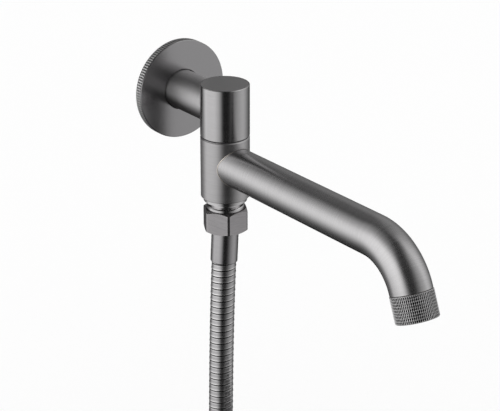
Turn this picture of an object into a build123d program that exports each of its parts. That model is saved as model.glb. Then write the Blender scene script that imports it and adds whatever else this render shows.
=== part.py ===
import math
import os

from build123d import *

# A wall-held bath spout on a swivelling column, with a hand-shower hose at its foot.
# The origin is the centre of the flange's back face. +Y runs into the wall, +Z is up,
# and the spout points along -Y. Lengths are in millimetres and angles in degrees.

# Fits and gaps
running_gap = 0.05  # radial, between pieces that turn or slide in each other
seat_gap = 0.03  # radial, between pieces that are screwed or brazed together
face_gap = 0.02  # along the axis, between faces that slide on each other
seal_gap = 0.02  # radial, between an O-ring and the wall it seals on

# Tube and thread sizes that several pieces share
tube_radius = 11.0  # the arm and the spout are the same tube outside
thread_radius = 10.48  # G1/2 male pipe thread, drawn as its outer cylinder
thread_gap = 0.08  # radial, between a female thread and its male
oring_groove_depth = 1.5
oring_groove_width = 2.3
oring_land = 1.1  # metal left beside an O-ring's groove

# Arm
column_reach = 44.8  # wall plane to the column's axis
arm_bore_radius = 6.5
arm_stub_length = 15.0  # thread beyond the wall plane
arm_relief_length = 2.0
arm_relief_depth = 1.18
stub_chamfer = 1.0

# Wall flange
flange_radius = 27.9
flange_thickness = 4.7
flange_clearance = 0.3  # radial, round the arm
flange_face_chamfer = 0.35
flange_web = 1.8  # thickness of the front plate
flange_rim_wall = 3.2
flange_hub_wall = 3.0  # outside the O-ring's groove
gasket_margin = 0.5  # radial, between the hub and the gasket

# Column, outside
column_rise = 2.5  # by how much the column's radius is larger than the tubes'
arm_cover = 1.15  # metal between the arm's socket and the cover's seat
head_top_chamfer = 0.35
groove_chamfer = 0.6
glide_thickness = 0.4
glide_inset = 1.08  # from the column's outside to the glide ring's
body_shoulder = 4.3  # metal above the spout's socket
body_foot = 8.6  # metal below it
body_chamfer = 0.4

# Column, inside
head_rim = 0.5
cap_plate_thickness = 1.8
cap_recess = 0.05  # how far the cover lies below the head's rim
cap_flange = 1.6  # step from the cover's edge to its thread
cap_thread_length = 2.0
cap_lip = 0.6
cap_skirt_wall = 2.0
head_thread_step = 0.8  # from the cover's thread down to the head's cavity
cope_step = 0.5  # from the cover's thread out to the saddle that the tubes are cut to
ledge_drop = 0.8  # head's ledge below the arm's bore
ledge_width = 2.6
body_wall = 4.0
body_cavity_margin = 0.4  # cavity above and below the spout's bore

# Swivel
spigot_wall = 0.7  # behind the O-ring grooves
spigot_above_clip = 1.8
spigot_chamfer = 0.5
washer_thickness = 0.9
washer_play = 0.4
clip_thickness = 0.9
clip_depth = 0.85
clip_rise = 1.5  # how far the clip stands out from the spigot
clip_opening = 50.0

# Spout
spout_wall = 1.45
spout_straight = 125.4  # column axis to the start of the bend
bend_radius = 31.2
bend_angle = 68.0
spout_end_length = 0.5  # straight piece after the bend
spout_lip = 1.15  # wall left round the sleeve
spout_counterbore_depth = 4.0
spout_end_chamfer = 0.25

# Outlet under the column
outlet_shoulder_radius = 12.0
outlet_shoulder_length = 2.2
outlet_shoulder_width = 2.7  # seat of the shoulder on the body's foot
outlet_neck_depth = 1.88  # below the thread
outlet_neck_length = 2.8
outlet_neck_wall = 1.1
outlet_thread_length = 8.5
outlet_thread_chamfer = 0.5
outlet_throat_length = 5.5
outlet_runout = 1.2  # from the nipple's top to the body's cavity

# Non-return cartridge
cartridge_wall = 1.6
cartridge_seat_width = 1.7
cartridge_seat_thickness = 1.6
cartridge_ledge = 1.3  # step in the nipple that the cartridge stops against
cartridge_below_face = 1.5  # its lower end, above the nipple's end face
cartridge_seal_drop = 3.4  # its seal's middle, below its top
cartridge_groove_depth = 1.1
cartridge_groove_width = 2.0
poppet_flow_gap = 0.8  # radial, round the poppet
poppet_plate = 1.2
poppet_stem_radius = 1.1
poppet_travel = 2.4
spider_thickness = 2.0
spider_rim = 0.1  # hub beyond the spring
spider_arm_width = 1.4
spider_arms = 3
spring_gap = 0.7  # radial, round the stem
spring_wire_radius = 0.25
spring_turns = 4
spring_end_gap = 0.1

# Hose connection
washer_face_thickness = 2.2
washer_margin = 0.96  # radial, between a washer and the thread round it
washer_hole_radius = 5.5
nut_wall = 0.94  # between the nut's thread and its flats
nut_overlap = 6.4  # nut's top above the nipple's end face
nut_floor = 1.89  # under the tailpiece's flange
nut_chamfer_angle = 30.0
nut_face_inset = 0.12
nut_corner_cut = 0.38  # turned off the hexagon's corners
nut_mouth = 0.7  # bevel round the nut's opening
nut_turn = 2.0  # how far the nut has been tightened past square to the spout
nut_exit_play = 0.95  # round the ferrule
tail_flange_margin = 0.2  # tailpiece's flange inside the washer's edge
tail_flange_thickness = 1.7
tail_shank_radius = 5.6
tail_bore_radius = 3.8
barb_length = 5.0
ferrule_radius = 7.55
ferrule_length = 21.3
ferrule_start = 0.5  # below the tailpiece's flange
ferrule_chamfer = 0.6
hose_depth = 6.0  # hose end inside the ferrule
hose_lean = 3.0  # lean of the hose connection towards -X

# Hose
hose_radius = 7.0
hose_bore_radius = 5.0
rib_pitch = 3.73
rib_depth = 0.35
route_runs = [26.0, 42.0, 52.0, 38.0]  # straight runs of the hanging stretch, top to bottom
route_leans = [hose_lean, 1.7, 0.9]  # their leans towards -X; the last run has the coil's slope
coil_mean_radius = 69.15
coil_spacing = 14.9  # from one turn to the next
coil_turns = 3
coil_lead = 14.0  # straight stretch before the first turn
coil_tail = 24.2  # straight stretch after the last turn
coil_flare = 5.0  # how far the last half turn stands off, to clear the handset nut
tie_width = 9.0
tie_thickness = 1.2
tie_gap = 0.3

# Handset end of the hose
handset_ferrule_radius = 7.6
handset_ferrule_length = 14.0
handset_throat_play = 0.3  # between the nut's throat and the ferrule
handset_throat_wall = 1.4
handset_thread_depth = 9.0
handset_relief_depth = 0.35  # behind the thread, round the washer
handset_nut_wall = 1.1
handset_cone_length = 10.0
handset_nut_chamfer = 0.6

# Spout tip, measured along the tip's axis from the collar's upper edge
collar_rise = 0.27  # by how much the collar is larger than the tube
collar_wall = 1.67
collar_gap = 0.2
collar_edge_chamfer = 0.3
collar_step = 0.8  # ledge inside the collar, which the clip holds
sleeve_wall = 1.8  # round the fixed disc
sleeve_groove_start = 1.2
sleeve_groove_width = 2.1
sleeve_groove_depth = 1.4
sleeve_land = 1.3  # between the O-ring's groove and the clip
tip_clip_thickness = 0.8
tip_clip_depth = 0.65
tip_clip_land = 0.8  # sleeve beyond the clip
disc_thickness = 2.0
disc_seat = 1.5  # width of the ledge behind the fixed disc
disc_port_inner = 1.4
disc_port_margin = 0.3
disc_port_angle = 80.0
disc_key_width = 2.6
disc_key_height = 1.0
carrier_wall = 2.1
carrier_ledge_thickness = 0.7
carrier_ledge_width = 1.5
aerator_washer_thickness = 0.5
aerator_washer_play = 0.3
aerator_wall = 1.3
aerator_chamber = 1.44  # space above the screen
aerator_lip_width = 0.6
aerator_lip_thickness = 0.8
aerator_chamfer = 0.3
aerator_recess = 0.5  # from its end to the collar's
screen_thickness = 1.8
screen_hole_radius = 0.75
screen_rim = 0.65
screen_rings = 3

# Radii and heights that follow from these
thread_bore_radius = thread_radius + thread_gap
arm_relief_radius = thread_radius - arm_relief_depth
flange_hole_radius = tube_radius + flange_clearance

column_radius = tube_radius + column_rise
cap_radius = column_radius - head_rim
cap_thread_radius = cap_radius - cap_flange
head_cavity_radius = cap_thread_radius - head_thread_step
cope_radius = cap_thread_radius + cope_step
spigot_radius = head_cavity_radius - ledge_width
spigot_groove_radius = spigot_radius - oring_groove_depth
spigot_bore_radius = spigot_groove_radius - spigot_wall
body_cavity_radius = column_radius - body_wall
spout_bore_radius = tube_radius - spout_wall

cap_seat = tube_radius + arm_cover  # underside of the cover's plate
head_top = cap_seat + cap_plate_thickness + cap_recess
cap_thread_end = cap_seat - cap_thread_length
cap_groove_top = cap_thread_end - cap_lip
cap_groove_low = cap_groove_top - oring_groove_width
head_ledge = -arm_bore_radius - ledge_drop
head_bottom = head_ledge - 2 * oring_groove_width - 3 * oring_land
upper_groove_low = head_ledge - oring_land - oring_groove_width
lower_groove_low = head_bottom + oring_land
body_top = head_bottom - glide_thickness
spout_height = body_top - body_shoulder - tube_radius
body_cavity_top = spout_height + spout_bore_radius + body_cavity_margin
body_cavity_bottom = spout_height - spout_bore_radius - body_cavity_margin
body_bottom = spout_height - tube_radius - body_foot

clip_low = head_ledge + washer_thickness + face_gap
clip_high = clip_low + clip_thickness
spigot_top = clip_high + spigot_above_clip

outlet_top = body_cavity_bottom - outlet_runout
outlet_screw_radius = outlet_shoulder_radius - outlet_shoulder_width
outlet_neck_radius = thread_radius - outlet_neck_depth
outlet_shoulder_low = body_bottom - outlet_shoulder_length
outlet_thread_top = outlet_shoulder_low - outlet_neck_length
outlet_face = outlet_thread_top - outlet_thread_length

cartridge_radius = outlet_neck_radius - outlet_neck_wall
cartridge_bore_radius = cartridge_radius - cartridge_wall
cartridge_seat_radius = cartridge_bore_radius - cartridge_seat_width
cartridge_bottom = outlet_face + cartridge_below_face
cartridge_top = outlet_top - outlet_throat_length
poppet_top = cartridge_top - cartridge_seat_thickness - face_gap
spring_coil_radius = poppet_stem_radius + spring_gap + spring_wire_radius

washer_outer_radius = thread_bore_radius - washer_margin
tail_flange_radius = washer_outer_radius - tail_flange_margin
ferrule_entry = tail_flange_thickness + ferrule_start
barb_radius = hose_bore_radius - 2 * running_gap

collar_radius = tube_radius + collar_rise
collar_thread_radius = collar_radius - collar_wall
sleeve_neck_radius = collar_thread_radius - collar_step
sleeve_seat_radius = tube_radius - spout_lip
sleeve_groove_end = sleeve_groove_start + sleeve_groove_width
collar_ledge = sleeve_groove_end + sleeve_land
tip_clip_low = collar_ledge + face_gap
tip_clip_high = tip_clip_low + tip_clip_thickness
sleeve_length = tip_clip_high + tip_clip_land
disc_radius = sleeve_neck_radius - sleeve_wall
sleeve_bore_radius = disc_radius - disc_seat
disc_port_outer = sleeve_bore_radius - disc_port_margin
turning_disc_radius = collar_thread_radius - carrier_wall
disc_key_radius = turning_disc_radius + disc_key_height
turning_disc_start = sleeve_length + face_gap
turning_disc_end = turning_disc_start + disc_thickness
carrier_end = turning_disc_end + carrier_ledge_thickness
aerator_start = carrier_end + aerator_washer_thickness
screen_start = aerator_start + aerator_chamber
screen_end = screen_start + screen_thickness
aerator_end = screen_end + aerator_lip_thickness
aerator_bore_radius = collar_thread_radius - aerator_wall
aerator_lip_radius = aerator_bore_radius - aerator_lip_width
collar_length = aerator_end + aerator_recess

column_axis = (0, -column_reach, 0)


def turned(outline, place=Location((0, 0, 0))):
    """Solid of revolution about Z from (radius, height) points, put in its place."""
    face = make_face(Polyline(*[(r, 0, z) for r, z in outline], close=True).edges())
    return place * Solid(revolve(face, axis=Axis.Z).wrapped)


def rod(radius, low, high, place=Location((0, 0, 0))):
    """Plain cylinder between two heights."""
    return turned([(0, low), (radius, low), (radius, high), (0, high)], place)


def pipe(outer, inner, low, high, place=Location((0, 0, 0))):
    """Plain ring between two heights."""
    return turned([(inner, low), (outer, low), (outer, high), (inner, high)], place)


def wedge(reach, angle, low, high):
    """Three-sided prism with its edge on Z, opening towards +X."""
    side = reach * math.tan(math.radians(angle / 2))
    face = make_face(Polyline((0, 0, low), (reach, side, low), (reach, -side, low), close=True).edges())
    return extrude(face, high - low, dir=(0, 0, 1))


def one(shape):
    """The single solid of a result."""
    solids = shape.solids()
    assert len(solids) == 1, f"{len(solids)} solids where one was meant"
    return solids[0]


def oring(inner, outer, height, place=Location((0, 0, 0))):
    """O-ring between two radii, with its middle at a height."""
    ring = Plane.XZ * Pos((inner + outer) / 2, height) * Circle((outer - inner) / 2)
    return place * one(revolve(ring, axis=Axis.Z))


column = Location(column_axis)
along_arm = Location((0, 0, 0), (-90, 0, 0))  # local +Z runs into the wall


def column_core(radius):
    """Everything within a radius of the column's axis."""
    return rod(radius, body_bottom, head_top, column)


def port(radius, height, towards):
    """Round cutter from the column's axis along +Y or -Y."""
    place = Location((0, -column_reach, height), (-90 * towards, 0, 0))
    return rod(radius, 0, 2 * column_radius, place)


def saddle(height, towards):
    """Socket in the column's wall, as deep as the cope of the tube that it takes."""
    return port(tube_radius + seat_gap, height, towards) - column_core(cope_radius)


# The arm and the head


def make_inlet_arm():
    """Bar with a pipe thread in the wall, drilled through and coped to the column."""
    thread_start = arm_relief_length + stub_chamfer
    outline = [
        (arm_bore_radius, -column_reach),
        (tube_radius, -column_reach),
        (tube_radius, 0),
        (arm_relief_radius, 0),
        (arm_relief_radius, arm_relief_length),
        (thread_radius, thread_start),
        (thread_radius, arm_stub_length - stub_chamfer),
        (thread_radius - stub_chamfer, arm_stub_length),
        (arm_bore_radius, arm_stub_length),
    ]
    return one(turned(outline, along_arm) - column_core(cope_radius + seat_gap))


def make_head_shell():
    """Upper half of the column: bore for the spigot below, thread for the cover above."""
    outline = [
        (spigot_radius + running_gap, head_bottom),
        (column_radius - groove_chamfer, head_bottom),
        (column_radius, head_bottom + groove_chamfer),
        (column_radius, head_top - head_top_chamfer),
        (column_radius - head_top_chamfer, head_top),
        (cap_radius + seat_gap, head_top),
        (cap_radius + seat_gap, cap_seat),
        (cap_thread_radius + seat_gap, cap_seat),
        (cap_thread_radius + seat_gap, cap_thread_end),
        (head_cavity_radius, cap_thread_end),
        (head_cavity_radius, head_ledge),
        (spigot_radius + running_gap, head_ledge),
    ]
    return one(turned(outline, column) - saddle(0, 1) - port(arm_bore_radius, 0, 1))


def make_head_cap():
    """Cover with a thread and a skirt that carries its seal."""
    groove_radius = head_cavity_radius - oring_groove_depth
    skirt_radius = head_cavity_radius - running_gap
    hollow_radius = groove_radius - cap_skirt_wall
    high = head_top - cap_recess
    bevel = head_top_chamfer / 2
    outline = [
        (0, cap_seat),
        (hollow_radius, cap_seat),
        (hollow_radius, cap_groove_low - cap_lip),
        (skirt_radius, cap_groove_low - cap_lip),
        (skirt_radius, cap_groove_low),
        (groove_radius, cap_groove_low),
        (groove_radius, cap_groove_top),
        (skirt_radius, cap_groove_top),
        (skirt_radius, cap_thread_end + face_gap),
        (cap_thread_radius, cap_thread_end + face_gap),
        (cap_thread_radius, cap_seat),
        (cap_radius, cap_seat),
        (cap_radius, high - bevel),
        (cap_radius - bevel, high),
        (0, high),
    ]
    return turned(outline, column)


def make_head_cap_oring():
    middle = (cap_groove_low + cap_groove_top) / 2
    return oring(head_cavity_radius - oring_groove_depth, head_cavity_radius - seal_gap, middle, column)


def make_thrust_washer():
    outer = head_cavity_radius - washer_play
    return pipe(outer, spigot_radius + running_gap, head_ledge, head_ledge + washer_thickness, column)


# The wall flange, with its face at -flange_thickness along the arm and its back on the wall

flange_groove_radius = tube_radius + oring_groove_depth
flange_groove_low = -(flange_thickness + oring_groove_width) / 2
flange_hub_radius = flange_groove_radius + flange_hub_wall
flange_web_back = flange_web - flange_thickness
flange_recess_radius = flange_radius - flange_rim_wall


def make_wall_flange():
    """Shallow cup with a hub that holds the O-ring."""
    bevel = flange_face_chamfer
    groove_high = flange_groove_low + oring_groove_width
    outline = [
        (flange_hole_radius + bevel, -flange_thickness),
        (flange_radius - bevel, -flange_thickness),
        (flange_radius, bevel - flange_thickness),
        (flange_radius, 0),
        (flange_recess_radius, 0),
        (flange_recess_radius, flange_web_back),
        (flange_hub_radius, flange_web_back),
        (flange_hub_radius, -bevel),
        (flange_hole_radius, -bevel),
        (flange_hole_radius, groove_high),
        (flange_groove_radius, groove_high),
        (flange_groove_radius, flange_groove_low),
        (flange_hole_radius, flange_groove_low),
        (flange_hole_radius, bevel - flange_thickness),
    ]
    return turned(outline, along_arm)


def make_flange_oring():
    middle = flange_groove_low + oring_groove_width / 2
    return oring(tube_radius + seal_gap, flange_groove_radius, middle, along_arm)


def make_flange_gasket():
    """Foam ring that fills the flange's recess up to the wall."""
    outer = flange_recess_radius - running_gap
    return pipe(outer, flange_hub_radius + gasket_margin, flange_web_back, 0, along_arm)


# The swivelling lower half of the column


def make_lower_body():
    """Threaded above for the spigot and below for the outlet, with the spout's socket in front."""
    outline = [
        (spigot_radius + seat_gap, body_top),
        (spigot_radius + seat_gap, body_cavity_top),
        (body_cavity_radius, body_cavity_top),
        (body_cavity_radius, body_cavity_bottom),
        (outlet_screw_radius + seat_gap, body_cavity_bottom),
        (outlet_screw_radius + seat_gap, body_bottom),
        (column_radius - body_chamfer, body_bottom),
        (column_radius, body_bottom + body_chamfer),
        (column_radius, body_top - groove_chamfer),
        (column_radius - groove_chamfer, body_top),
    ]
    body = turned(outline, column)
    return one(body - saddle(spout_height, -1) - port(spout_bore_radius, spout_height, -1))


def make_glide_ring():
    """Bearing ring on which the two halves of the column turn."""
    return pipe(column_radius - glide_inset, spigot_radius + 2 * running_gap, body_top, head_bottom, column)


def make_swivel_spigot():
    """Sleeve screwed into the lower body, with two seals and a clip in the head."""
    groove, full = spigot_groove_radius, spigot_radius
    lower_groove_high = lower_groove_low + oring_groove_width
    upper_groove_high = upper_groove_low + oring_groove_width
    outline = [
        (spigot_bore_radius, body_cavity_top),
        (full, body_cavity_top),
        (full, lower_groove_low),
        (groove, lower_groove_low),
        (groove, lower_groove_high),
        (full, lower_groove_high),
        (full, upper_groove_low),
        (groove, upper_groove_low),
        (groove, upper_groove_high),
        (full, upper_groove_high),
        (full, clip_low),
        (full - clip_depth, clip_low),
        (full - clip_depth, clip_high),
        (full, clip_high),
        (full, spigot_top - spigot_chamfer),
        (full - spigot_chamfer, spigot_top),
        (spigot_bore_radius, spigot_top),
    ]
    return turned(outline, column)


def make_swivel_oring(groove_low):
    outer = spigot_radius + running_gap - seal_gap
    return oring(spigot_groove_radius, outer, groove_low + oring_groove_width / 2, column)


def open_clip(outer, inner, low, high):
    """Spring clip: a flat ring with a gap, rounded at its two ends."""
    ring = pipe(outer, inner, low, high) - wedge(2 * outer, clip_opening, low, high)
    middle = (outer + inner) / 2
    for sign in (-1, 1):
        angle = math.radians(sign * clip_opening / 2)
        end = (middle * math.cos(angle), middle * math.sin(angle))
        ring += Location(end) * rod((outer - inner) / 2, low, high)
    return one(ring)


def make_retaining_clip():
    inner = spigot_radius - clip_depth + seat_gap
    return column * open_clip(spigot_radius + clip_rise, inner, clip_low, clip_high - face_gap)


# The spout's centre line and the frame of its tip

spout_root = Vector(0, -column_reach, spout_height)
bend_start = spout_root + Vector(0, -spout_straight, 0)
bend_turn = math.radians(bend_angle)
bend_end = bend_start + Vector(0, -math.sin(bend_turn), math.cos(bend_turn) - 1) * bend_radius
tip_direction = Vector(0, -math.cos(bend_turn), -math.sin(bend_turn))
spout_end = bend_end + tip_direction * spout_end_length
tip = Plane(origin=spout_end + tip_direction * collar_gap, x_dir=(1, 0, 0), z_dir=tip_direction).location
sleeve_back = -collar_gap - spout_counterbore_depth


def make_spout_tube():
    """One bent tube, coped to the column at its root and counterbored at its end."""
    straight = Line(spout_root, bend_start).edge()
    bend = TangentArc(bend_start, bend_end, tangent=(0, -1, 0)).edge()
    path = Wire([straight, bend, Line(bend_end, spout_end).edge()])
    start = Plane(origin=spout_root, x_dir=(1, 0, 0), z_dir=(0, -1, 0))
    tube = sweep(start * Circle(tube_radius), path=path) - sweep(start * Circle(spout_bore_radius), path=path)
    tube -= column_core(cope_radius + seat_gap)
    tube -= rod(sleeve_seat_radius, sleeve_back, collar_gap, tip)
    bevel = spout_end_chamfer
    rim = [(tube_radius - bevel, 0), (tube_radius + bevel, -2 * bevel), (tube_radius + bevel, 0)]
    tube -= turned([(r, z - collar_gap) for r, z in rim], tip)
    return one(tube)


# The outlet and its non-return cartridge


def make_outlet_nipple():
    """Screwed into the body's foot; holds the cartridge and takes the hose's nut."""
    bevel = outlet_thread_chamfer
    pocket = cartridge_radius + seat_gap
    throat = cartridge_radius - cartridge_ledge
    outline = [
        (throat, outlet_top),
        (outlet_screw_radius, outlet_top),
        (outlet_screw_radius, body_bottom),
        (outlet_shoulder_radius, body_bottom),
        (outlet_shoulder_radius, outlet_shoulder_low),
        (outlet_neck_radius, outlet_shoulder_low),
        (outlet_neck_radius, outlet_thread_top),
        (thread_radius - bevel, outlet_thread_top),
        (thread_radius, outlet_thread_top - bevel),
        (thread_radius, outlet_face + bevel),
        (thread_radius - bevel, outlet_face),
        (pocket, outlet_face),
        (pocket, cartridge_top),
        (throat, cartridge_top),
    ]
    return turned(outline, column)


def make_check_valve_body():
    """Cartridge with a seat at its top and an armed guide for the poppet's stem."""
    seat_end = cartridge_top - cartridge_seat_thickness
    groove_middle = cartridge_top - cartridge_seal_drop
    groove_high = groove_middle + cartridge_groove_width / 2
    groove_low = groove_middle - cartridge_groove_width / 2
    groove = cartridge_radius - cartridge_groove_depth
    outline = [
        (cartridge_seat_radius, cartridge_top),
        (cartridge_radius, cartridge_top),
        (cartridge_radius, groove_high),
        (groove, groove_high),
        (groove, groove_low),
        (cartridge_radius, groove_low),
        (cartridge_radius, cartridge_bottom),
        (cartridge_bore_radius, cartridge_bottom),
        (cartridge_bore_radius, seat_end),
        (cartridge_seat_radius, seat_end),
    ]
    body = turned(outline)
    guide_top = cartridge_bottom + spider_thickness
    arm_length = (cartridge_bore_radius + cartridge_radius) / 2
    arm = Pos(arm_length / 2, 0, (cartridge_bottom + guide_top) / 2)
    arm *= Box(arm_length, spider_arm_width, spider_thickness)
    for turn in range(spider_arms):
        body += Rot(0, 0, 360 / spider_arms * turn) * arm
    body += rod(spring_coil_radius + spring_wire_radius + spider_rim, cartridge_bottom, guide_top)
    body -= rod(poppet_stem_radius + running_gap, cartridge_bottom, guide_top)
    return column * one(body)


def make_check_valve_seal():
    inner = cartridge_radius - cartridge_groove_depth
    return oring(inner, cartridge_radius + seat_gap - seal_gap, cartridge_top - cartridge_seal_drop, column)


def make_check_poppet():
    """Plate on a stem; fully open, the stem's end is level with the nipple's end face."""
    low = poppet_top - poppet_plate
    outer = cartridge_bore_radius - poppet_flow_gap
    end = outlet_face + poppet_travel
    outline = [
        (0, poppet_top),
        (outer, poppet_top),
        (outer, low),
        (poppet_stem_radius, low - poppet_plate),
        (poppet_stem_radius, end),
        (0, end),
    ]
    return turned(outline, column)


def arcs_through(points, directions):
    """Smooth line of pairs of arcs through points with a given direction at each."""
    edges = []
    for k in range(len(points) - 1):
        here, there = points[k], points[k + 1]
        leaving, arriving = directions[k].normalized(), directions[k + 1].normalized()
        chord = there - here
        both = leaving + arriving
        square = 4 - both.dot(both)
        across = chord.dot(both)
        reach = (math.sqrt(across * across + square * chord.dot(chord)) - across) / square
        joint = (here + there + (leaving - arriving) * reach) * 0.5
        middle = (there - arriving * reach - here - leaving * reach).normalized()
        edges.append(Edge.make_tangent_arc(here, leaving, joint))
        edges.append(Edge.make_tangent_arc(joint, middle, there))
    return edges


def helix_arcs(centre, radius, climbs, first, second, third):
    """Quarter turns round a centre, from first towards second, each with its climb along third."""
    points, directions = [], []
    height = 0.0
    for k in range(len(climbs) + 1):
        angle = k * math.pi / 2
        out = first * math.cos(angle) + second * math.sin(angle)
        round_about = second * math.cos(angle) - first * math.sin(angle)
        points.append(centre + out * radius + third * height)
        near = climbs[max(k - 1, 0) : k + 1]
        slope = sum(near) / len(near) / (radius * math.pi / 2)
        directions.append(round_about + third * slope)
        if k < len(climbs):
            height += climbs[k]
    return arcs_through(points, directions), points, directions


def make_check_spring():
    """Coil spring between the guide and the poppet's plate."""
    low = cartridge_bottom + spider_thickness + spring_wire_radius + face_gap
    high = poppet_top - 2 * poppet_plate - spring_wire_radius - spring_end_gap
    climbs = [(high - low) / (4 * spring_turns)] * (4 * spring_turns)
    sides = Vector(1, 0, 0), Vector(0, 1, 0), Vector(0, 0, 1)
    edges, points, directions = helix_arcs(Vector(0, 0, low), spring_coil_radius, climbs, *sides)
    profile = Plane(origin=points[0], z_dir=directions[0]) * Circle(spring_wire_radius)
    return column * one(sweep(profile, path=Wire(edges)))


# The hose leans a little: its frame hangs from the middle of the washer, with +Z down the hose

lean = math.radians(hose_lean)
hose_down = Vector(-math.sin(lean), 0, -math.cos(lean))
washer_pivot = Vector(0, -column_reach, outlet_face - washer_face_thickness)
hose_frame = Plane(origin=washer_pivot, x_dir=(0, 1, 0), z_dir=hose_down).location
tail_reach = tail_flange_thickness * math.cos(lean) + tail_flange_radius * math.sin(lean)
nut_ledge = washer_pivot.Z - tail_reach - face_gap  # on which the leaning tailpiece hangs
nut_top = outlet_face + nut_overlap
nut_bottom = nut_ledge - nut_floor


def make_hose_washer():
    """Soft washer, squeezed thinner on the side to which the hose leans."""
    low = outlet_face - 2 * washer_face_thickness
    washer = pipe(washer_outer_radius, washer_hole_radius, low, outlet_face, column)
    return one(washer - rod(2 * washer_outer_radius, 0, 2 * washer_face_thickness, hose_frame))


def make_hose_nut():
    """Hexagon nut with its corners turned off, a bevelled mouth above and two flats nearly along Y."""
    flat = thread_bore_radius + nut_wall
    corner = flat / math.cos(math.radians(30))
    turned_radius = corner - nut_corner_cut
    face_radius = flat - nut_face_inset
    drop = (turned_radius - face_radius) * math.tan(math.radians(nut_chamfer_angle))
    hexagon = RegularPolygon(radius=corner, side_count=6, major_radius=True, rotation=nut_turn)
    outline = [
        (0, nut_bottom),
        (face_radius, nut_bottom),
        (turned_radius, nut_bottom + drop),
        (turned_radius, nut_top - drop),
        (face_radius, nut_top),
        (0, nut_top),
    ]
    opening = [
        (0, nut_ledge),
        (thread_bore_radius, nut_ledge),
        (thread_bore_radius, nut_top - nut_mouth),
        (thread_bore_radius + nut_mouth, nut_top),
        (0, nut_top),
    ]
    nut = (Pos(0, 0, nut_bottom) * extrude(hexagon, nut_top - nut_bottom)) & turned(outline)
    nut -= turned(opening)
    nut -= rod(ferrule_radius + nut_exit_play, nut_bottom, nut_top)
    return column * one(nut)


def tailpiece(face, hose_end, towards, place):
    """Flanged tail: its flange at face, a shank up to the hose's end and a barb inside the hose."""
    flange_end = face + towards * tail_flange_thickness
    shank_end = hose_end - towards * face_gap
    barb_end = hose_end + towards * barb_length
    outline = [
        (tail_bore_radius, face),
        (tail_flange_radius, face),
        (tail_flange_radius, flange_end),
        (tail_shank_radius, flange_end),
        (tail_shank_radius, shank_end),
        (barb_radius, shank_end),
        (barb_radius, barb_end),
        (tail_bore_radius, barb_end),
    ]
    return turned(outline, place)


hose_start_depth = ferrule_entry + ferrule_length - hose_depth


def make_hose_tailpiece():
    return tailpiece(0, hose_start_depth, 1, hose_frame)


def make_hose_ferrule():
    """Sleeve crimped round the tailpiece's shank above and the hose below."""
    bottom = ferrule_entry + ferrule_length
    bevel = ferrule_chamfer
    outline = [
        (tail_shank_radius + seat_gap, ferrule_entry),
        (ferrule_radius - bevel, ferrule_entry),
        (ferrule_radius, ferrule_entry + bevel),
        (ferrule_radius, bottom - bevel),
        (hose_radius + seat_gap, bottom),
        (hose_radius + seat_gap, hose_start_depth),
        (tail_shank_radius + seat_gap, hose_start_depth),
    ]
    return turned(outline, hose_frame)


# The hose's route: from the ferrule down to the straight lead of the coil

coil_slope = coil_spacing / (2 * math.pi * coil_mean_radius)
coil_side = Vector(1, 0, 0)  # the turns lie side by side along this


def hose_route():
    """Points of the hanging stretch, top to bottom."""
    points = [washer_pivot + hose_down * hose_start_depth]
    leans = [-math.radians(angle) for angle in route_leans] + [math.atan(coil_slope)]
    for length, tilt in zip(route_runs, leans):
        points.append(points[-1] + Vector(math.sin(tilt), 0, -math.cos(tilt)) * length)
    return points


def route_line(points):
    """Straight runs joined by the largest tangent arcs that fit, and those arcs' radii."""
    radii = []
    for k in range(1, len(points) - 1):
        before, after = points[k] - points[k - 1], points[k + 1] - points[k]
        turn = math.radians(before.get_angle(after))
        radii.append(0.45 * min(before.length, after.length) / math.tan(turn / 2))
    return FilletPolyline(*points, radius=radii), radii


hose_points = hose_route()
hose_line, hose_radii = route_line(hose_points)


def hose_section(share, radius):
    """Circle square to the hose at a share of its length, always started on the same side."""
    plane = Plane(origin=hose_line @ share, x_dir=(0, 1, 0), z_dir=hose_line % share)
    return (plane * Circle(radius)).wire()


def make_hose_free():
    """Hose of wound metal strip: flat-topped ribs along the route, and its bore."""
    ribs = round(hose_line.length / rib_pitch)
    valley = hose_radius - rib_depth
    rib = [(0.0, valley), (0.3, hose_radius), (0.72, hose_radius), (0.9, valley)]
    sections = [hose_section((k + share) / ribs, radius) for k in range(ribs) for share, radius in rib]
    sections.append(hose_section(1, valley))
    bore_steps = 8
    bore = [hose_section(k / bore_steps, hose_bore_radius) for k in range(bore_steps + 1)]
    return one(Solid.make_loft(sections, ruled=True) - Solid.make_loft(bore, ruled=True))


coil_top = hose_points[-1]
coil_direction = (coil_side * coil_slope - Vector(0, 0, 1)).normalized()
coil_entry = coil_top + coil_direction * coil_lead
coil_centre = coil_entry - Vector(0, coil_mean_radius, 0)
coil_quarters = 4 * coil_turns
coil_climbs = [coil_spacing / 4] * (coil_quarters - 2) + [coil_spacing / 4 + coil_flare / 2] * 2
coil_arcs, coil_points, coil_directions = helix_arcs(
    coil_centre, coil_mean_radius, coil_climbs, Vector(0, 1, 0), Vector(0, 0, -1), coil_side
)
coil_end = coil_points[-1] + coil_directions[-1].normalized() * coil_tail
coil_edges = [Edge.make_line(coil_top, coil_points[0]), *coil_arcs, Edge.make_line(coil_points[-1], coil_end)]
coil_path = Wire(coil_edges)

# The hose's far end, with +Z down and away from the hose
end_frame = Plane(origin=coil_end, x_dir=(0, 1, 0), z_dir=coil_directions[-1]).location
end_face = handset_ferrule_length - hose_depth + ferrule_start  # hose side of the tailpiece's flange
end_washer = end_face + tail_flange_thickness


def make_hose_coil():
    """The rest of the hose, in turns that lie side by side, drilled for the far tailpiece's barb."""
    profile = Plane(origin=coil_top, z_dir=coil_direction) * Circle(hose_radius)
    coil = one(sweep(profile, path=coil_path))
    return one(coil - rod(hose_bore_radius, -barb_length - face_gap, face_gap, end_frame))


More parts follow.
